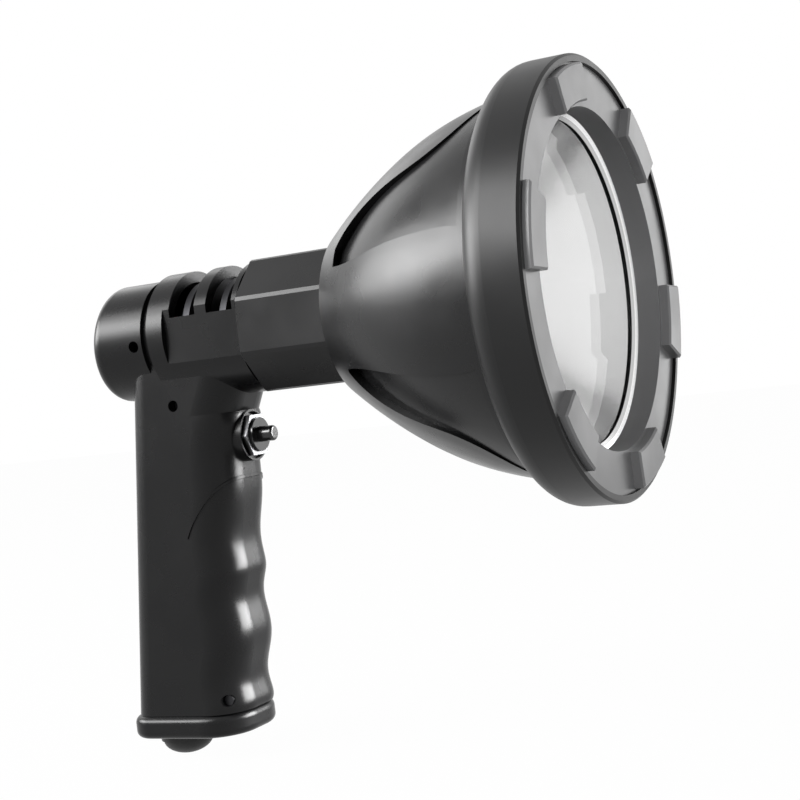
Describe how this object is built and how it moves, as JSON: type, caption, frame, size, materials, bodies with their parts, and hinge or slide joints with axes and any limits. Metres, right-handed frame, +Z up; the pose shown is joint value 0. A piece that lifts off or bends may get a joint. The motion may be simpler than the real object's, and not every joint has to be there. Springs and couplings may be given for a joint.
{
  "type": "handheld searchlight",
  "caption": "Pistol-grip searchlight: domed head with a wide front band and castellated lens ring, octagonal neck, vented rear barrel and a push-button switch.",
  "frame": {"origin": "middle of the grip, on the plane of symmetry", "axes": "+X the way the light shines, +Y to the light's left, +Z up, along the upright height of the light"},
  "size_m": [0.1931, 0.14, 0.2188],
  "materials": {
    "body_plastic": "fine moulded black plastic",
    "head_plastic": "smooth satin black plastic",
    "band_plastic": "polished black plastic",
    "ring_plastic": "satin black plastic",
    "screw_steel": "zinc plated",
    "sink_metal": "turned and black anodised",
    "seal_rubber": "smooth",
    "cover_rubber": "satin",
    "lens_glass": "clear",
    "reflector_bright": "bright metallised",
    "sleeve_plastic": "natural moulded plastic",
    "board_plastic": "coated circuit board",
    "emitter_plastic": "phosphor under a clear dome",
    "component_plastic": "moulded",
    "cell_wrap": "shrink wrapped",
    "contact_brass": "stamped strip",
    "lead_plastic": "insulated lead",
    "switch_plastic": "moulded",
    "switch_metal": "plated",
    "button_plastic": "moulded",
    "socket_metal": "plated"
  },
  "bodies": {
    "housing": {"base_plate": "body_plastic", "base_screw_left": "screw_steel", "base_screw_right": "screw_steel", "battery_cell_front": "cell_wrap", "battery_cell_rear": "cell_wrap", "battery_lead_front": "lead_plastic", "battery_lead_rear": "lead_plastic", "bell_housing": "head_plastic", "bezel_band": "band_plastic", "bezel_seal": "seal_rubber", "cell_cradle": "sleeve_plastic", "charge_pin": "socket_metal", "charge_socket": "socket_metal", "contact_lower": "contact_brass", "contact_upper_front": "contact_brass", "contact_upper_rear": "contact_brass", "cover_tether": "cover_rubber", "driver_board": "board_plastic", "driver_capacitor_1": "component_plastic", "driver_capacitor_2": "component_plastic", "driver_capacitor_3": "component_plastic", "driver_chip": "component_plastic", "driver_coil": "component_plastic", "handle_left": "body_plastic", "handle_right": "body_plastic", "handle_screw_barrel": "screw_steel", "handle_screw_lower": "screw_steel", "handle_screw_upper": "screw_steel", "heat_sink": "sink_metal", "led_board": "board_plastic", "led_emitter": "emitter_plastic", "led_lead_left": "lead_plastic", "led_lead_right": "lead_plastic", "led_screw_left": "screw_steel", "led_screw_right": "screw_steel", "lens": "lens_glass", "lens_gasket": "seal_rubber", "neck_barrel": "head_plastic", "neck_seal": "seal_rubber", "reflector": "reflector_bright", "reflector_seat": "sleeve_plastic", "switch_body": "switch_plastic", "switch_lead_left": "lead_plastic", "switch_lead_right": "lead_plastic", "switch_nut": "switch_metal", "switch_spring": "switch_metal", "switch_washer": "switch_metal"},
    "front_ring": {"front_ring": "ring_plastic"},
    "trigger_button": {"trigger_button": "button_plastic"},
    "port_cover": {"port_cover": "cover_rubber"}
  },
  "joints": [
    {"name": "ring_turn", "type": "hinge", "parent": "housing", "child": "front_ring", "pos_m": [0.16, 0, 0.08], "axis": [1, 0, 0], "continuous": true},
    {"name": "trigger_press", "type": "slide", "parent": "housing", "child": "trigger_button", "axis": [-1, 0, 0], "range_m": [0, 0.0024], "stiffness_N_per_m": 400, "springref_m": -0.002, "deforming": ["switch_spring"]},
    {"name": "cover_swing", "type": "hinge", "parent": "housing", "child": "port_cover", "pos_m": [-0.003, 0, -0.0612], "axis": [0, -1, 0], "range_deg": [0, 100]}
  ]
}
